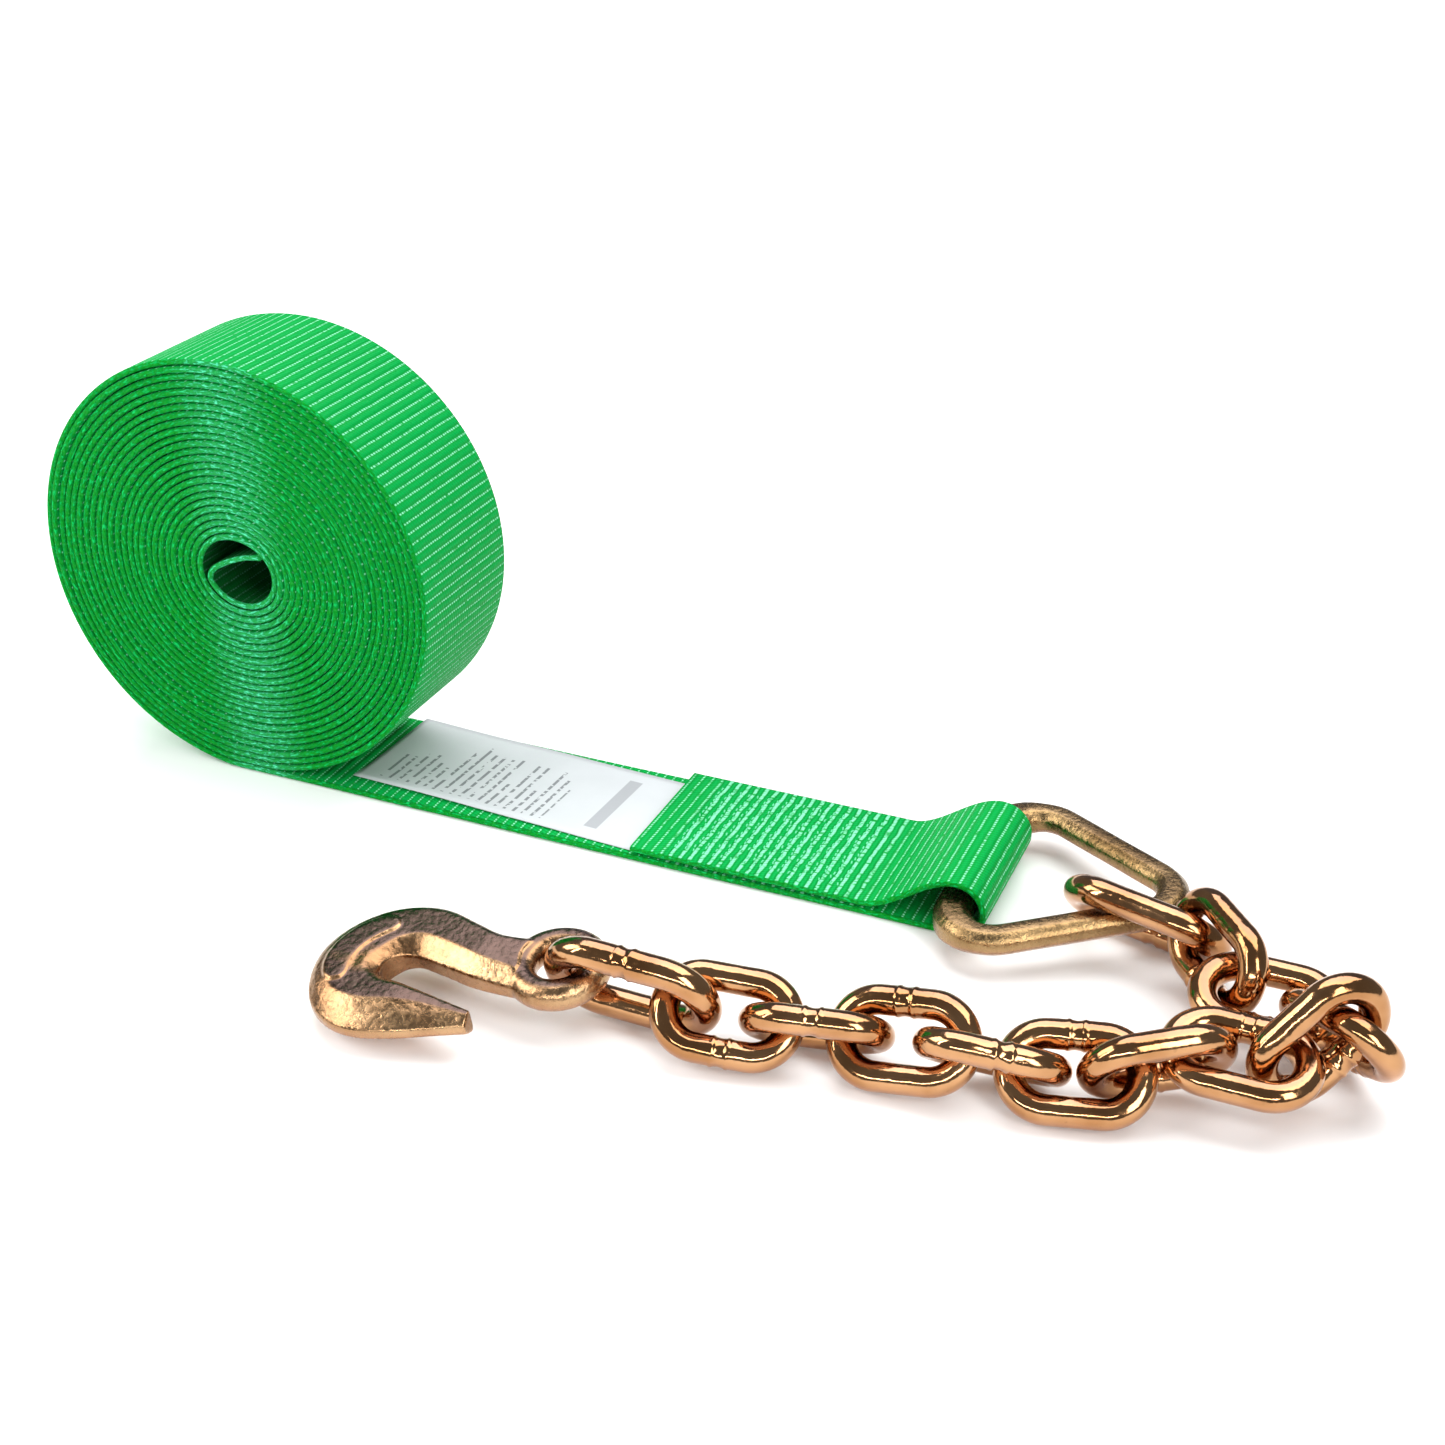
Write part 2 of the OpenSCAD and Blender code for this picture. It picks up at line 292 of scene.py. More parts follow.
def webbing_material():
    """Green polyester: ribs across the strap, slanting yarns, a pale line in each groove, a painted sheen
    band on the roll's side and painted shade in its hollow core.
    """
    m = Nodes("webbing_weave")
    u, v = m.uv()
    place_uv = m.combine(u, v)
    at = m.add("ShaderNodeSeparateXYZ")
    m.link(m.object_space(), at.inputs[0])
    sewn = m.math("MULTIPLY", m.ramp(at.outputs[0], CUT_X * MM + 0.009, CUT_X * MM + 0.013),
                  m.ramp(at.outputs[0], LIFT_X * MM + 0.004, LIFT_X * MM - 0.004))
    wobble = m.math("ADD", m.math("MULTIPLY", sewn, 0.0011), 0.0004)
    drift = m.math("MULTIPLY", m.math("SUBTRACT", m.noise(place_uv, 170.0, 2.0), 0.5), wobble)
    along = m.math("DIVIDE", m.math("ADD", u, drift), RIB * MM)
    rib = m.math("PINGPONG", along, 0.5)
    groove = m.math("MAXIMUM", m.ramp(rib, 0.15, 0.02), m.math("MULTIPLY", sewn, m.ramp(rib, 0.24, 0.10)))
    crown = m.ramp(rib, 0.05, 0.45)
    slant = m.math("ADD", m.math("DIVIDE", v, YARN * MM), m.math("MULTIPLY", along, 1.0))
    yarn = m.math("PINGPONG", slant, 0.5)
    yarn_gap = m.ramp(yarn, 0.13, 0.0)
    broken_at = m.combine(m.math("MULTIPLY", u, 310.0), m.math("MULTIPLY", v, 850.0))
    broken = m.noise(broken_at, 1.0, 2.0)
    pale = m.math("MULTIPLY", groove, m.ramp(broken, 0.30, 0.52))
    dash = m.math("MAXIMUM", m.ramp(yarn, 0.10, 0.22), m.math("MULTIPLY", sewn, 0.9))
    pale = m.math("MULTIPLY", pale, dash)
    side = m.ramp(m.math("ABSOLUTE", v), 0.0246, 0.0252)
    pale = m.math("MULTIPLY", pale, m.math("SUBTRACT", 1.0, m.math("MULTIPLY", side, 0.85)))
    # Painted sheen: a band of the roll's side near the core's upright line, where the yarns' sheen is
    # painted in.
    painted_sheen_band = m.ramp(m.math("ABSOLUTE", m.math("SUBTRACT", at.outputs[0], 0.004)), 0.020, 0.003)
    fleck_at = m.combine(m.math("MULTIPLY", u, 420.0), m.math("MULTIPLY", v, 1500.0))
    fleck = m.math("MULTIPLY", side, m.ramp(m.noise(fleck_at, 1.0, 3.0, 0.6), 0.50, 0.60))
    patch = m.noise(m.object_space(), 22.0, 3.0)
    green = m.mix(patch, (0.0008, 0.260, 0.026), (0.001, 0.335, 0.050))
    green = m.mix(m.math("MULTIPLY", crown, 0.40), green, (0.001, 0.42, 0.095))
    green = m.mix(m.math("MULTIPLY", yarn_gap, 0.55), green, (0.001, 0.14, 0.016))
    green = m.mix(m.math("MULTIPLY", pale, 0.90), green, (0.26, 0.80, 0.50))
    green = m.mix(m.math("MULTIPLY", side, 0.75), green, (0.0002, 0.225, 0.006))
    green = m.mix(m.math("MULTIPLY", fleck, 0.75), green, (0.004, 0.56, 0.12))
    # Painted sheen: the side's green is lifted towards pale green in that band, more on the flecks.
    sheen = m.math("ADD", m.math("MULTIPLY", fleck, 0.75), 0.12)
    sheen = m.math("MULTIPLY", m.math("MULTIPLY", side, painted_sheen_band), sheen)
    green = m.mix(sheen, green, (0.10, 0.76, 0.42))
    # Painted shade: within about 13 mm of the roll's axis the green is darkened to near black, standing
    # for the shade in the hollow core.
    low = m.math("SUBTRACT", at.outputs[2], (ROLL_R - ROLL_SINK) * MM)
    squares = m.math("ADD", m.math("POWER", at.outputs[0], 2.0), m.math("POWER", low, 2.0))
    reach = m.math("SQRT", squares)
    inside = m.math("MULTIPLY", m.ramp(reach, 0.0145, 0.0125), m.math("SUBTRACT", 1.0, side))
    green = m.mix(m.math("MULTIPLY", inside, 0.85), green, (0.0002, 0.018, 0.002))
    m.link(green, m.bsdf.inputs["Base Color"])
    rough = m.ramp(m.noise(place_uv, 1400.0, 2.0), 0.3, 0.7, 0.45, 0.65)
    m.link(rough, m.bsdf.inputs["Roughness"])
    m.bsdf.inputs["Specular IOR Level"].default_value = 0.05
    shape = m.math("ADD", m.math("MULTIPLY", crown, 1.0), m.math("MULTIPLY", yarn_gap, -0.45))
    shape = m.math("ADD", shape, m.math("MULTIPLY", fleck, 0.8))
    shape = m.math("ADD", shape, m.math("MULTIPLY", sewn, m.math("MULTIPLY", crown, 1.2)))
    m.link(m.bump(shape, 0.9, 0.00040), m.bsdf.inputs["Normal"])
    return m.mat


def label_material():
    """White coated label with generic grey rules in place of any print."""
    m = Nodes("label_coated")
    u, v = m.uv()
    rows = m.math("DIVIDE", u, RULE * MM)
    row = m.math("FRACT", rows)
    line = m.math("MULTIPLY", m.ramp(row, 0.28, 0.34), m.ramp(row, 0.66, 0.60))
    ragged = m.noise(m.combine(m.math("FLOOR", rows), 3.7), 1.0, 0.0)
    reach = m.ramp(ragged, 0.3, 0.7, 0.018, 0.039)
    inside = m.math("MULTIPLY", m.ramp(v, 0.0035, 0.0038), m.math("LESS_THAN", v, reach))
    zone = m.math("MULTIPLY", m.ramp(u, 0.006, 0.0065), m.ramp(u, 0.070, 0.0695))
    gaps_at = m.combine(m.math("MULTIPLY", u, 290.0), m.math("MULTIPLY", v, 520.0))
    gaps = m.ramp(m.noise(gaps_at, 1.0, 1.0), 0.42, 0.47)
    ink = m.math("MULTIPLY", m.math("MULTIPLY", line, inside), m.math("MULTIPLY", zone, gaps))
    band = m.math("MULTIPLY", m.ramp(u, 0.084, 0.0843), m.ramp(u, 0.089, 0.0887))
    across = m.math("MULTIPLY", m.ramp(v, 0.006, 0.0063), m.ramp(v, 0.038, 0.0377))
    band = m.math("MULTIPLY", band, across)
    dirt = m.noise(m.object_space(), 60.0, 4.0)
    white = m.mix(dirt, (0.56, 0.58, 0.60), (0.48, 0.50, 0.52))
    white = m.mix(m.math("MULTIPLY", ink, 0.80), white, (0.12, 0.13, 0.14))
    white = m.mix(m.math("MULTIPLY", band, 0.8), white, (0.30, 0.31, 0.33))
    m.link(white, m.bsdf.inputs["Base Color"])
    m.link(m.ramp(dirt, 0.3, 0.7, 0.42, 0.6), m.bsdf.inputs["Roughness"])
    m.bsdf.inputs["Specular IOR Level"].default_value = 0.25
    m.link(m.bump(m.noise(m.object_space(), 900.0, 2.0), 0.25, 0.0001), m.bsdf.inputs["Normal"])
    return m.mat


def thread_material():
    """Pale green sewing thread."""
    m = Nodes("seam_thread")
    at = m.object_space()
    twist = m.noise(at, 2600.0, 1.0)
    colour = m.mix(twist, (0.02, 0.40, 0.14), (0.20, 0.74, 0.44))
    m.link(colour, m.bsdf.inputs["Base Color"])
    m.link(m.ramp(twist, 0.3, 0.7, 0.45, 0.6), m.bsdf.inputs["Roughness"])
    m.bsdf.inputs["Specular IOR Level"].default_value = 0.2
    m.link(m.bump(twist, 0.6, 0.0002), m.bsdf.inputs["Normal"])
    return m.mat


def plated_material(name, warm, pale, dark, grain, grain_depth, rough_low, rough_high, dark_top):
    """Steel beneath yellow chromate, from gold to copper, with a painted copper-pink reflection of the
    floor on its downward faces, darker and bluish on its upper flats.
    """
    m = Nodes(name)
    at = m.object_space()
    broad = m.noise(at, 45.0, 3.0)
    fine = m.noise(at, grain, 4.0, 0.6)
    up = m.object_up()
    colour = m.mix(m.ramp(broad, 0.35, 0.65), warm, pale)
    # Painted reflection: faces turned downwards get a copper-pink tint that stands for the white floor
    # reflected in the chromate.
    painted_floor_reflection = m.ramp(up, 0.1, -0.6)
    colour = m.mix(m.math("MULTIPLY", painted_floor_reflection, 0.6), colour, (0.62, 0.33, 0.20))
    top = m.math("MULTIPLY", m.ramp(up, 0.86, 0.97), m.ramp(broad, 0.22, 0.42))
    colour = m.mix(m.math("MULTIPLY", top, dark_top), colour, dark)
    colour = m.mix(m.ramp(fine, 0.60, 0.78, 0.0, 0.25), colour, (0.12, 0.07, 0.04))
    m.link(colour, m.bsdf.inputs["Base Color"])
    m.bsdf.inputs["Metallic"].default_value = 1.0
    m.link(m.ramp(fine, 0.25, 0.75, rough_low, rough_high), m.bsdf.inputs["Roughness"])
    swell = m.bump(m.noise(at, 150.0, 2.0), 0.45, 0.0006)
    m.link(m.bump(fine, 0.6, grain_depth, swell), m.bsdf.inputs["Normal"])
    return m.mat


# ---------------------------------------------------------------- the strap
def roll_path():
    """Centre line of the wound strap in X and Z, from its inner end out to the run."""
    pitch = (ROLL_R - LAYER_T / 2 - CORE_R) / ROLL_TURNS
    middle = ROLL_R - ROLL_SINK
    start = [(11.2, 8.0), (6.4, 7.3), (0.8, 5.4), (-4.4, 2.9), (-7.9, 0.4), (-9.24, -2.64)]
    points = [(x, middle + z) for x, z in catmull(start, 6)[:-1]]
    steps = int(ROLL_TURNS * 130)
    for i in range(steps + 1):
        tau = ROLL_TURNS * i / steps
        angle = math.radians(ROLL_START + 360 * tau)
        inner = 1 - tau / ROLL_TURNS
        radius = CORE_R + pitch * tau
        dent = 0.5 * math.sin(2 * angle + 0.6) * (1 - inner)
        x = 2.6 * inner + (radius + 0.9 * inner + dent) * math.cos(angle)
        z = middle + 1.05 * inner + (radius - 0.9 * inner + dent) * math.sin(angle)
        z = max(z, LAY_Z + pitch * (ROLL_TURNS - tau))
        points.append((x, z))
    return points


def fold_path():
    """From the roll along the surface, round the bar and back to the cut end."""
    points = [(x, LAY_Z) for x in np.arange(2, BAR_X - 3, 2.0)]
    points += [(BAR_X - 1, LAY_Z), (BAR_X + 1.5, LAY_Z + 0.1)]
    for a in range(-50, 81, 6):
        points.append((BAR_X + LOOP_R * math.cos(math.radians(a)),
                       BAR_Z + LOOP_R * math.sin(math.radians(a))))
    top = BAR_Z + LOOP_R
    for k in range(20, 0, -1):
        f = k / 20
        points.append((LIFT_X + (BAR_X - LIFT_X) * f, UPPER_Z + (top - UPPER_Z) * smooth(f)))
    for x in np.arange(LIFT_X, CUT_X, -2.0):
        points.append((x, UPPER_Z))
    points.append((CUT_X, UPPER_Z + 0.1))
    return points


def strap_section():
    """Points round the webbing's section as (across, up, texture v), with rounded edges."""
    half = WEB_T / 2
    flat = WEB_W / 2 - half
    top = [(y, half, y) for y in np.linspace(-flat, flat, 9)]
    right = [(flat + half * math.sin(a), half * math.cos(a), flat + half * a)
             for a in np.linspace(0, math.pi, 7)[1:-1]]
    low = [(-y, -half, -y) for y in np.linspace(-flat, flat, 9)]
    left = [(-flat - half * math.sin(a), -half * math.cos(a), -(flat + half * a))
            for a in np.linspace(0, math.pi, 7)[1:-1]]
    return top + right + low + left


def make_strap():
    """The whole webbing as one skin: inner end, roll, run, loop and cut end."""
    path = np.array(roll_path() + fold_path())
    keep = [0]
    for i in range(1, len(path)):
        if np.linalg.norm(path[i] - path[keep[-1]]) > 0.4:
            keep.append(i)
    path = path[keep]
    n = len(path)
    ahead = np.roll(path, -1, 0) - np.roll(path, 1, 0)
    ahead[0], ahead[-1] = path[1] - path[0], path[-1] - path[-2]
    ahead /= np.linalg.norm(ahead, axis=1)[:, None]
    up = np.stack([-ahead[:, 1], ahead[:, 0]], 1)
    run = np.concatenate([[0], np.cumsum(np.linalg.norm(np.diff(path, axis=0), axis=1))])
    section = strap_section()
    m = len(section)
    sway = wander(n, 24, 0.28, 11)
    sway[-120:] *= np.linspace(1, 0, 120)
    verts = np.zeros((n, m, 3))
    for k, (across, rise, _) in enumerate(section):
        verts[:, k, 0] = path[:, 0] + up[:, 0] * rise
        verts[:, k, 1] = across + sway
        verts[:, k, 2] = path[:, 1] + up[:, 1] * rise
    faces, uvs = [], []
    for k in range(m):
        q = (k + 1) % m
        va, vb = section[k][2], section[q][2]
        if abs(va - vb) > 12:
            va = math.copysign(abs(vb) + 0.5, vb) if abs(va) < abs(vb) else va
            vb = math.copysign(abs(va) + 0.5, va) if abs(vb) < abs(va) else vb
        for i in range(n - 1):
            faces.append((i * m + k, i * m + q, (i + 1) * m + q, (i + 1) * m + k))
            uvs += [(run[i] * MM, va * MM), (run[i] * MM, vb * MM),
                    (run[i + 1] * MM, vb * MM), (run[i + 1] * MM, va * MM)]
    faces.append(tuple(range(m - 1, -1, -1)))
    faces.append(tuple((n - 1) * m + k for k in range(m)))
    uvs += [(0.0, 0.0264)] * (2 * m)
    obj = new_object("strap_webbing", verts.reshape(-1, 3) * MM, faces, uvs)
    dress(obj, webbing_material(), "strap", "webbing", "webbing")
    return obj


def make_label():
    """The label, lying on the webbing with its near free corner a little lifted."""
    length, width = LABEL_L, LABEL_W
    nx, ny = 56, 18
    verts, faces, uvs = [], [], []
    for side in (1, -1):
        for i in range(nx + 1):
            for j in range(ny + 1):
                x, y = length * (i / nx - 0.5), width * (j / ny - 0.5)
                near = smooth((0.25 - j / ny) / 0.25) * smooth((0.9 - i / nx) / 0.5)
                lift = 0.5 * near + 0.12 * math.sin(x / 9 + y / 14) * smooth((0.8 - i / nx) / 0.3)
                verts.append((x, y, lift + side * 0.12))
    count = (nx + 1) * (ny + 1)
    for i in range(nx):
        for j in range(ny):
            a = i * (ny + 1) + j
            b, c, d = a + ny + 1, a + ny + 2, a + 1
            at = [(i, j), (i + 1, j), (i + 1, j + 1), (i, j + 1)]
            faces.append((a, b, c, d))
            uvs += [(length * p / nx * MM, width * q / ny * MM) for p, q in at]
            faces.append((a + count, d + count, c + count, b + count))
            uvs += [(0.1115, 0.0005)] * 4
    rim = [(i, 0) for i in range(nx)] + [(nx, j) for j in range(ny)]
    rim += [(i, ny) for i in range(nx, 0, -1)] + [(0, j) for j in range(ny, 0, -1)]
    for (i, j), (p, q) in zip(rim, rim[1:] + rim[:1]):
        a, b = i * (ny + 1) + j, p * (ny + 1) + q
        faces.append((a, a + count, b + count, b))
        uvs += [(0.1115, 0.0005)] * 4
    obj = new_object("label_sheet", verts, faces, uvs)
    place(obj, shift(CUT_X + 8 - length / 2, 1, LAYER_T + PLY_GAP / 2) @ turn("Z", -3))
    dress(obj, label_material(), "strap", "label", "label")
    return obj


def make_stitches():
    """Rows of short raised stitches across the strap, each dipping into it at its ends."""
    verts, faces = [], []
    x0, x1, half = CUT_X + 13, LIFT_X - 3, 20.0
    pitch, length, gap, radius, sides, steps = 3.2, 1.7, 0.8, 0.30, 6, 4
    top = 2 * LAYER_T + PLY_GAP - 0.12
    for row in range(int((x1 - x0) / pitch)):
        for i in range(int(2 * half / (length + gap))):
            x = x0 + pitch * row + 0.30 * rng.normal() + 0.35 * math.sin(1.3 * i + row)
            y = -half + (length + gap) * i + 0.25 * rng.normal()
            skew = 0.25 * rng.normal()
            base = len(verts)
            for s in range(steps + 1):
                t = s / steps
                z = top - 0.22 + 0.42 * math.sin(math.pi * t)
                for k in range(sides):
                    w = 2 * math.pi * k / sides
                    verts.append((x + skew * t + radius * math.cos(w), y + length * t,
                                  z + radius * math.sin(w)))
            for s in range(steps):
                for k in range(sides):
                    q = (k + 1) % sides
                    faces.append((base + s * sides + k, base + s * sides + q,
                                  base + (s + 1) * sides + q, base + (s + 1) * sides + k))
            faces.append(tuple(base + k for k in range(sides - 1, -1, -1)))
            faces.append(tuple(base + steps * sides + k for k in range(sides)))
    obj = new_object("seam_stitches", verts, faces)
    place(obj, Matrix.Identity(4))
    dress(obj, thread_material(), "strap", "thread", "stitching")
    return obj


# ---------------------------------------------------------------- the delta ring
def ring_line():
    """The ring's centre line from the middle of the bar round to it again."""
    corner_y = RING_HALF - RING_CORNER
    sa, ca = math.sin(RING_SIDE), math.cos(RING_SIDE)
    x0, y0 = RING_CORNER * (1 + sa), corner_y + RING_CORNER * ca
    tip_x = (x0 * sa + y0 * ca - RING_TIP) / sa
    half = [(0.0, y) for y in np.linspace(0, corner_y, 12)]
    for t in np.linspace(180, 90 - math.degrees(RING_SIDE), 16)[1:]:
        a = math.radians(t)
        half.append((RING_CORNER + RING_CORNER * math.cos(a), corner_y + RING_CORNER * math.sin(a)))
    x1, y1 = tip_x + RING_TIP * sa, RING_TIP * ca
    for f in np.linspace(0, 1, 20)[1:]:
        half.append((x0 + (x1 - x0) * f, y0 + (y1 - y0) * f))
    for t in np.linspace(90 - math.degrees(RING_SIDE), 0, 12)[1:]:
        a = math.radians(t)
        half.append((tip_x + RING_TIP * math.cos(a), RING_TIP * math.sin(a)))
    other = [(x, -y) for x, y in half[-2:0:-1]]
    return np.array(half + other), (x0, y0, x1, y1)


def bevelled_section(width, height, bevel, ease=0.2):
    """A rectangle with eased bevels at its corners, as (across, up)."""
    w, h, mid = width / 2, height / 2, bevel / 2
    quarter = [(w, h - bevel - 3 * ease), (w - ease, h - bevel + ease), (w - mid, h - mid),
               (w - bevel + ease, h - ease), (w - bevel - 3 * ease, h)]
    half = quarter + [(-x, y) for x, y in reversed(quarter)]
    return half + [(-x, -y) for x, y in half]


def ring_place():
    return shift(BAR_X, RING_Y, BAR_Z) @ turn("Y", -RING_RISE)


def make_ring():
    """The forged ring as one skin, thicker at its bar."""
    line, _ = ring_line()
    n = len(line)
    centres = [np.array((x, y, 0.0)) for x, y in line]
    up = np.array((0.0, 0.0, 1.0))
    frames, sections = [], []
    uneven = wander(n, 6, 0.05, 3)
    for i in range(n):
        d = line[(i + 1) % n] - line[i - 1]
        d = d / np.linalg.norm(d)
        frames.append((np.array((d[1], -d[0], 0.0)), up))
        bar = 1 - smooth((line[i][0] - 1.0) / 12.0)
        wide = RING_ARM[0] + (RING_BAR[0] - RING_ARM[0]) * bar + float(uneven[i]) - SKIN_IN
        thick = RING_ARM[1] + (RING_BAR[1] - RING_ARM[1]) * bar + float(uneven[i]) - SKIN_IN
        sections.append(bevelled_section(wide, thick, RING_BEVEL))
    obj = tube("ring_forging", centres, frames, sections, True)
    place(obj, ring_place())
    material = plated_material("ring_chromate", (0.21, 0.125, 0.050), (0.34, 0.22, 0.10),
                               (0.10, 0.065, 0.055), 750.0, 0.00045, 0.16, 0.36, 0.35)
    return dress(obj, material, "ring", "forging", "delta_ring")


# ---------------------------------------------------------------- the chain
def hang(row, reach):
    return (turn("Y", row[1]) @ turn("X", 90) @ turn("Y", row[2]) @ turn("X", row[3])
            @ shift(reach - row[4], 0, 0))


def crown(size, slide):
    radius = (size[2] + size[0]) / 2
    straight = (size[1] + size[0]) / 2 - radius
    return shift(straight, 0, 0) @ turn("Z", slide) @ shift(radius, 0, 0)


def link_size(i):
    return LONG if i in (0, len(LAY) - 1) else COMMON


def chain_places():
    """Where each link lies, then the hook, by following the chain from the ring."""
    _, (x0, y0, x1, y1) = ring_line()
    seat = shift(x0 + (x1 - x0) * RING_SEAT, -y0 - (y1 - y0) * RING_SEAT, 0)
    at = ring_place() @ seat @ turn("Z", math.degrees(RING_SIDE) - 90)
    at = at @ hang(LAY[0], (LONG[1] - RING_ARM[0]) / 2)
    places = [at]
    for i in range(1, len(LAY)):
        before = link_size(i - 1)
        at = at @ crown(before, LAY[i][0]) @ hang(LAY[i], (link_size(i)[1] - before[0]) / 2)
        places.append(at)
    hook = at @ crown(LONG, HOOK_LAY[0]) @ hang(HOOK_LAY, EYE_R - EYE_WIRE - LONG[0] / 2)
    return places, hook


def link_line(size):
    """Centre line of a link from the middle of its welded side, with a weld measure."""
    radius = (size[2] + size[0]) / 2
    straight = (size[1] + size[0]) / 2 - radius
    points = []
    for x in np.linspace(0, straight, 16):
        points.append((x, -radius, x))
    for a in np.radians(np.linspace(-90, 90, 31)[1:]):
        points.append((straight + radius * math.cos(a), radius * math.sin(a), WELD_FAR))
    for x in np.linspace(straight, -straight, 16)[1:]:
        points.append((x, radius, WELD_FAR))
    for a in np.radians(np.linspace(90, 270, 31)[1:]):
        points.append((-straight + radius * math.cos(a), radius * math.sin(a), WELD_FAR))
    for x in np.linspace(-straight, 0, 16)[1:-1]:
        points.append((x, -radius, x))
    return points


def weld_swell(w):
    """Height of the weld's two beads over the wire, at w mm along from its middle."""
    beads = 0.30 * math.exp(-((abs(w) - 2.1) / 0.5) ** 2)
    return beads - 0.20 * math.exp(-(w / 1.3) ** 2)


def weld_press(w, t):
    """Depth of the marks that the welding jaws left above and below, at angle t."""
    face = max(0.0, abs(math.sin(t)) - 0.8) * 5
    return 0.25 * face * math.exp(-(w / 2.6) ** 2)


def make_link(name, size, seed):
    """One welded link, with its weld in the middle of one side."""
    line = link_line(size)
    n = len(line)
    centres, frames, sections = [], [], []
    up = np.array((0.0, 0.0, 1.0))
    uneven = wander(n, 9, 0.035, seed)
    sides = 24
    for i in range(n):
        a, b = line[(i + 1) % n], line[i - 1]
        d = np.array((a[0] - b[0], a[1] - b[1]))
        d /= np.linalg.norm(d)
        centres.append(np.array((line[i][0], line[i][1], 0.0)))
        frames.append((np.array((d[1], -d[0], 0.0)), up))
        w = line[i][2]
        radius = size[0] / 2 + float(uneven[i]) + weld_swell(w)
        ring = []
        for k in range(sides):
            t = 2 * math.pi * k / sides
            reach = radius - weld_press(w, t)
            ring.append((reach * math.cos(t), reach * math.sin(t)))
        sections.append(ring)
    return tube(name, centres, frames, sections, True)


def make_chain(places, material):
    """All the links; every third one has its weld turned over."""
    for i, name in enumerate(LINKS):
        obj = make_link("wire_" + name, link_size(i), 40 + i)
        flip = turn("X", 180) if i % 3 == 1 else Matrix.Identity(4)
        place(obj, places[i] @ flip)
        dress(obj, material, name, "chain_wire", name)


# ---------------------------------------------------------------- the grab hook
# Stations along the hook: x, y, half width, slope on the throat side, slope on the outer side.
HOOK_LINE = [
    (9, 3.5, 9.0, 5.0, 2.0), (20, 4, 8.0, 5.5, 2.0), (30, 2, 8.3, 6.0, 2.0), (40, 0.2, 9.0, 6.0, 2.2),
    (48.5, 2.6, 9.3, 5.0, 2.6), (54.5, 9, 9.6, 4.0, 3.0), (56.5, 17.5, 9.8, 4.0, 3.4),
    (53.5, 26, 9.8, 3.0, 6.0), (46, 30.2, 9.4, 2.4, 8.5), (36, 29.8, 8.0, 2.0, 9.0),
    (25, 28.3, 5.4, 1.4, 7.0), (13.5, 26.8, 2.4, 0.8, 3.0),
]


def hook_section(half, inner, outer, height):
    """Flat faces, a slope down to the throat and one down to the outer edge."""
    in_drop, out_drop = min(inner * 0.62, height - 1.6), min(outer * 0.72, height - 1.4)
    top = [(-half, height - out_drop), (-half + outer * 0.45, height - out_drop * 0.42),
           (-half + outer, height), (half - inner, height),
           (half - inner * 0.4, height - in_drop * 0.55), (half, height - in_drop)]
    return top + [(a, -b) for a, b in reversed(top)]


def hook_body():
    """Shank, bend and point of the hook, from the eye on."""
    line = catmull(HOOK_LINE, 6)
    centres, frames, sections = [], [], []
    up = np.array((0.0, 0.0, 1.0))
    for i, (x, y, half, inner, outer) in enumerate(line):
        d = line[min(i + 1, len(line) - 1)][:2] - line[max(i - 1, 0)][:2]
        d = d / np.linalg.norm(d)
        along = i / (len(line) - 1)
        from_eye = 0.86 + 0.14 * smooth(along / 0.12)
        to_point = 1 - 0.42 * smooth((along - 0.8) / 0.2)
        height = HOOK_T / 2 * from_eye * to_point
        centres.append(np.array((x, y, 0.0)))
        frames.append((np.array((-d[1], d[0], 0.0)), up))
        sections.append(hook_section(half, inner, outer, height))
    return tube("hook_forging", centres, frames, sections, False)


def hook_eye():
    """The round eye."""
    centres, frames, sections = [], [], []
    for i in range(72):
        a = 2 * math.pi * i / 72
        out = np.array((math.cos(a), math.sin(a), 0.0))
        centres.append(out * EYE_R)
        frames.append((out, np.array((0.0, 0.0, 1.0))))
        sections.append([(EYE_WIRE * math.cos(t), EYE_WIRE * math.sin(t))
                         for t in np.linspace(0, 2 * math.pi, 25)[:-1]])
    return tube("hook_eye", centres, frames, sections, True)


def hook_pad():
    """The plain raised pad on the outside of the bend, on the upper face."""
    line = catmull([q[:3] for q in HOOK_LINE], 6)[24:43]
    verts, faces = [], []
    n = len(line)
    for i, (x, y, half) in enumerate(line):
        d = line[min(i + 1, n - 1)][:2] - line[max(i - 1, 0)][:2]
        d = d / np.linalg.norm(d)
        side = np.array((-d[1], d[0]))
        fade = math.sqrt(max(0.0, 1 - (2 * i / (n - 1) - 1) ** 4))
        for across, z in ((-5.0, 5.0), (-4.2, PAD_TOP), (3.0, PAD_TOP), (3.8, 5.0)):
            q = np.array((x, y)) + side * (across * (0.35 + 0.65 * fade) - 1.2)
            verts.append((q[0], q[1], z))
    for i in range(n - 1):
        for k in range(4):
            q = (k + 1) % 4
            faces.append((i * 4 + k, (i + 1) * 4 + k, (i + 1) * 4 + q, i * 4 + q))
    faces.append((3, 2, 1, 0))
    faces.append(tuple((n - 1) * 4 + k for k in range(4)))
    return new_object("hook_pad", verts, faces)


def unite(base, *others):
    """Joins closed shapes into one."""
    for other in others:
        mod = base.modifiers.new("join", "BOOLEAN")
        mod.operation = "UNION"
        mod.object = other
        mod.solver = "EXACT"
        bake(base)
        bpy.data.objects.remove(other)


def bake(obj):
    """Applies all modifiers of obj to its mesh."""
    depsgraph = bpy.context.evaluated_depsgraph_get()
    done = bpy.data.meshes.new_from_object(obj.evaluated_get(depsgraph))
    obj.modifiers.clear()
    obj.data = done


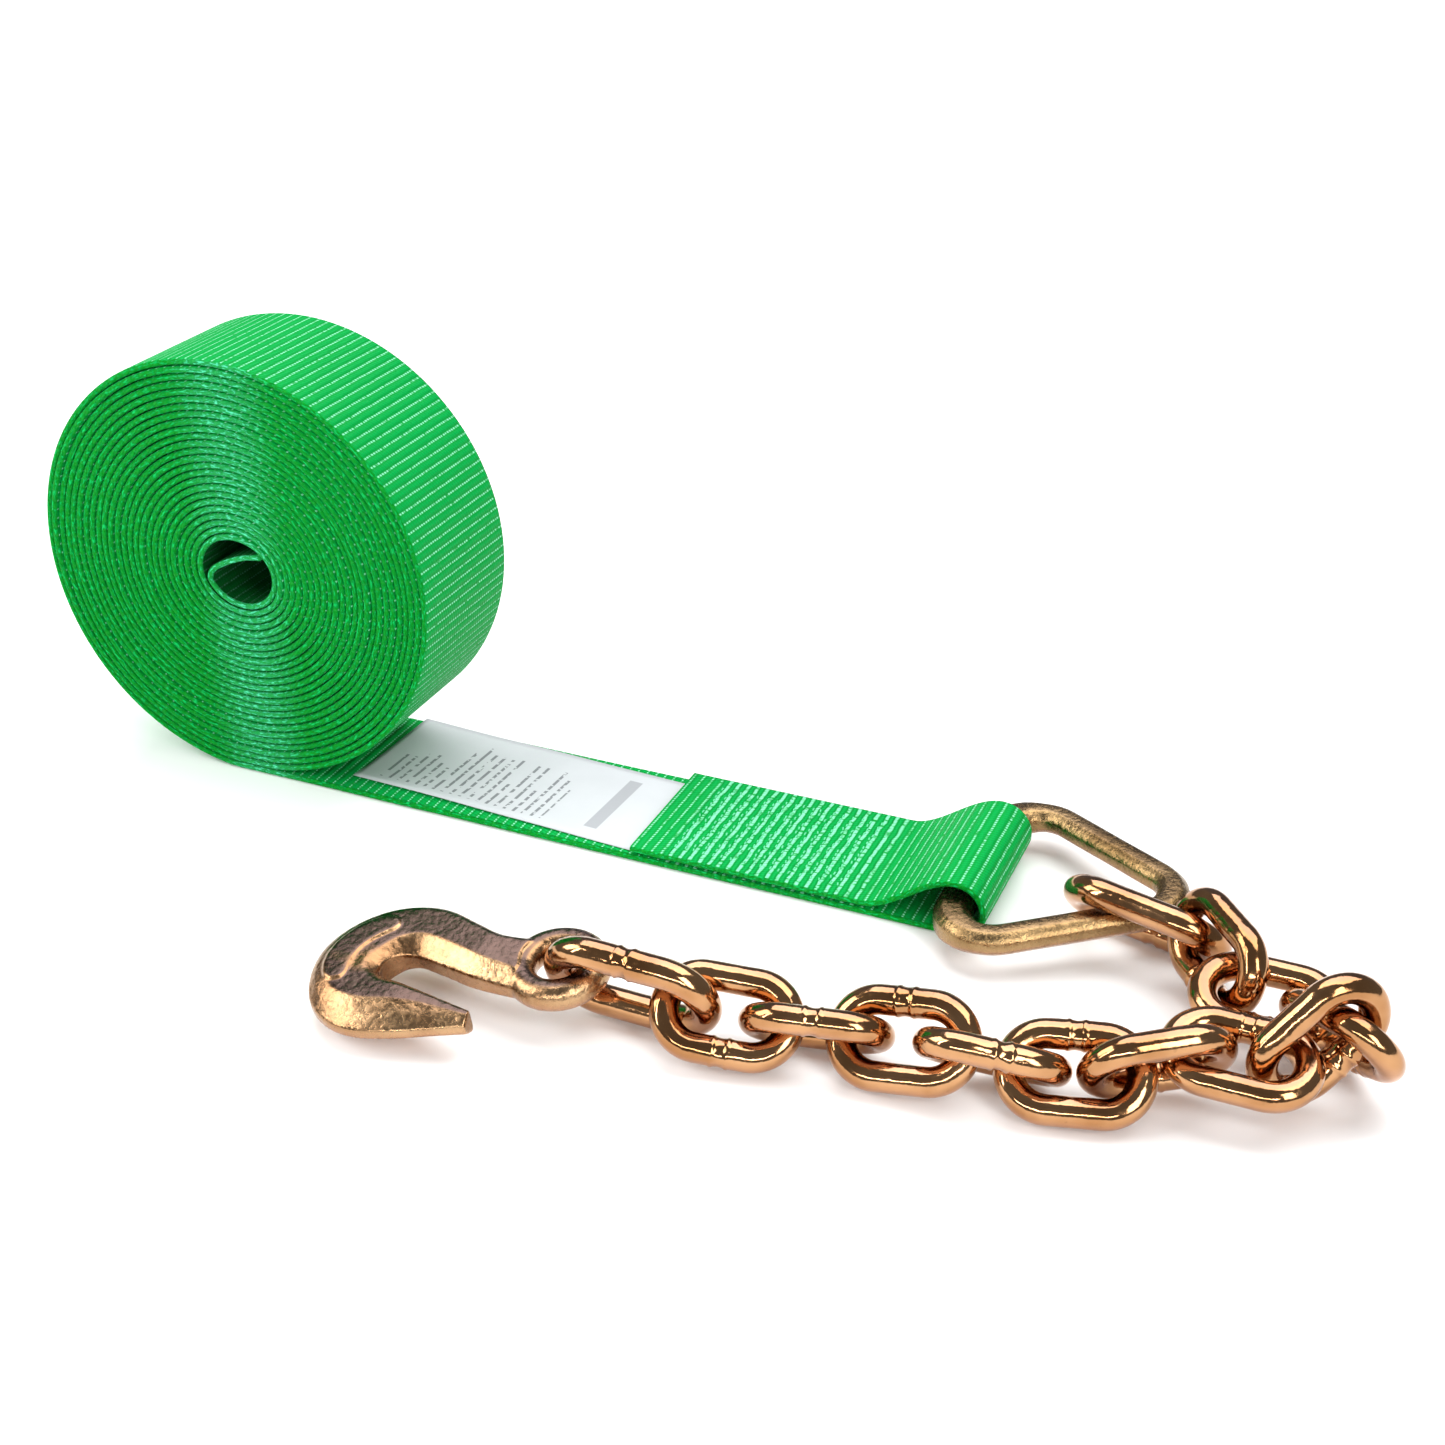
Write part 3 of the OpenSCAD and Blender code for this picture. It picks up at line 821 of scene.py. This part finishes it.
def drill(obj, radius, height):
    """Cuts a round hole through obj along Z at the origin."""
    verts = [(radius * math.cos(2 * math.pi * k / 48), radius * math.sin(2 * math.pi * k / 48), z)
             for z in (-height, height) for k in range(48)]
    faces = [(k, (k + 1) % 48, 48 + (k + 1) % 48, 48 + k) for k in range(48)]
    faces += [tuple(range(47, -1, -1)), tuple(range(48, 96))]
    cutter = new_object("cutter", verts, faces)
    mod = obj.modifiers.new("cut", "BOOLEAN")
    mod.operation = "DIFFERENCE"
    mod.object = cutter
    mod.solver = "EXACT"
    bake(obj)
    bpy.data.objects.remove(cutter)


def make_hook(matrix):
    """The forging: body, eye and pad in one skin with softened edges."""
    body = hook_body()
    drill(body, EYE_R, 20)
    unite(body, hook_eye(), hook_pad())
    mod = body.modifiers.new("skin", "REMESH")
    mod.mode = "VOXEL"
    mod.voxel_size = VOXEL
    bake(body)
    soft = body.modifiers.new("soft", "SMOOTH")
    soft.factor = 0.5
    soft.iterations = 3
    bake(body)
    body.data.polygons.foreach_set("use_smooth", [True] * len(body.data.polygons))
    place(body, matrix)
    body.data.materials.clear()
    material = plated_material("hook_chromate", (0.30, 0.160, 0.076), (0.45, 0.28, 0.145),
                               (0.080, 0.052, 0.048), 600.0, 0.00030, 0.16, 0.34, 0.95)
    return dress(body, material, "grab_hook", "forging", "grab_hook")


# ---------------------------------------------------------------- stage, light, camera
def make_floor():
    """A plain white surface, a hair below the object."""
    size = 30.0
    floor = new_object("floor", [(-size, -size, 0), (size, -size, 0), (size, size, 0), (-size, size, 0)],
                       [(0, 1, 2, 3)])
    floor.location.z = -0.0002
    m = Nodes("floor_white")
    m.bsdf.inputs["Base Color"].default_value = (0.93, 0.93, 0.93, 1)
    m.bsdf.inputs["Roughness"].default_value = 0.75
    floor.data.materials.append(m.mat)


def area_light(name, at, aim, size, watts, colour=(1, 1, 1)):
    data = bpy.data.lights.new(name, "AREA")
    data.shape = "RECTANGLE"
    data.size, data.size_y = size
    data.energy = watts
    data.color = colour
    obj = bpy.data.objects.new(name, data)
    bpy.context.collection.objects.link(obj)
    obj.location = at
    obj.rotation_mode = "QUATERNION"
    obj.rotation_quaternion = (Vector(aim) - Vector(at)).to_track_quat("-Z", "Y")


def make_light():
    """A pale room, three softboxes and two narrow strips that streak the plated wire."""
    world = bpy.data.worlds.new("studio")
    world.use_nodes = True
    world.node_tree.nodes["Background"].inputs[0].default_value = (0.92, 0.96, 1.0, 1)
    world.node_tree.nodes["Background"].inputs[1].default_value = 0.22
    bpy.context.scene.world = world
    area_light("softbox_top", (0.2, 1.0, 2.4), (0.15, 0.4, 0.0), (3.4, 2.4), 110)
    area_light("softbox_left", (-0.9, -0.4, 0.8), (0.1, 0, 0.05), (0.6, 0.8), 9)
    area_light("softbox_right", (1.1, -0.7, 0.7), (0.15, 0, 0.03), (0.4, 0.8), 8)
    area_light("strip_front", (0.35, -0.9, 0.35), (0.2, -0.1, 0.0), (0.9, 0.05), 3)
    area_light("strip_left", (-0.5, -0.7, 0.6), (0.15, -0.1, 0.0), (0.06, 0.7), 3)
    bpy.context.scene.view_settings.view_transform = "Standard"


def make_camera():
    """The camera in front of the object, a little to the right and above."""
    data = bpy.data.cameras.new("camera")
    data.sensor_width = 36.0
    data.lens = 50.66
    data.clip_start, data.clip_end = 0.02, 120
    camera = bpy.data.objects.new("camera", data)
    bpy.context.collection.objects.link(camera)
    azimuth, elevation = math.radians(23.19), math.radians(28.69)
    back = Vector((math.sin(azimuth) * math.cos(elevation),
                   -math.cos(azimuth) * math.cos(elevation), math.sin(elevation)))
    camera.location = Vector((0.1303, 0.0685, 0.0)) + back * 0.7140
    camera.rotation_mode = "QUATERNION"
    camera.rotation_quaternion = (-back).to_track_quat("-Z", "Y")
    bpy.context.scene.camera = camera


make_camera()
make_light()
make_floor()
make_ring()
make_strap()
make_label()
make_stitches()
link_places, hook_at = chain_places()
wire = plated_material("wire_chromate", (0.35, 0.165, 0.066), (0.50, 0.27, 0.128),
                       (0.14, 0.09, 0.10), 500.0, 0.00006, 0.05, 0.16, 0.40)
make_chain(link_places, wire)
make_hook(hook_at)
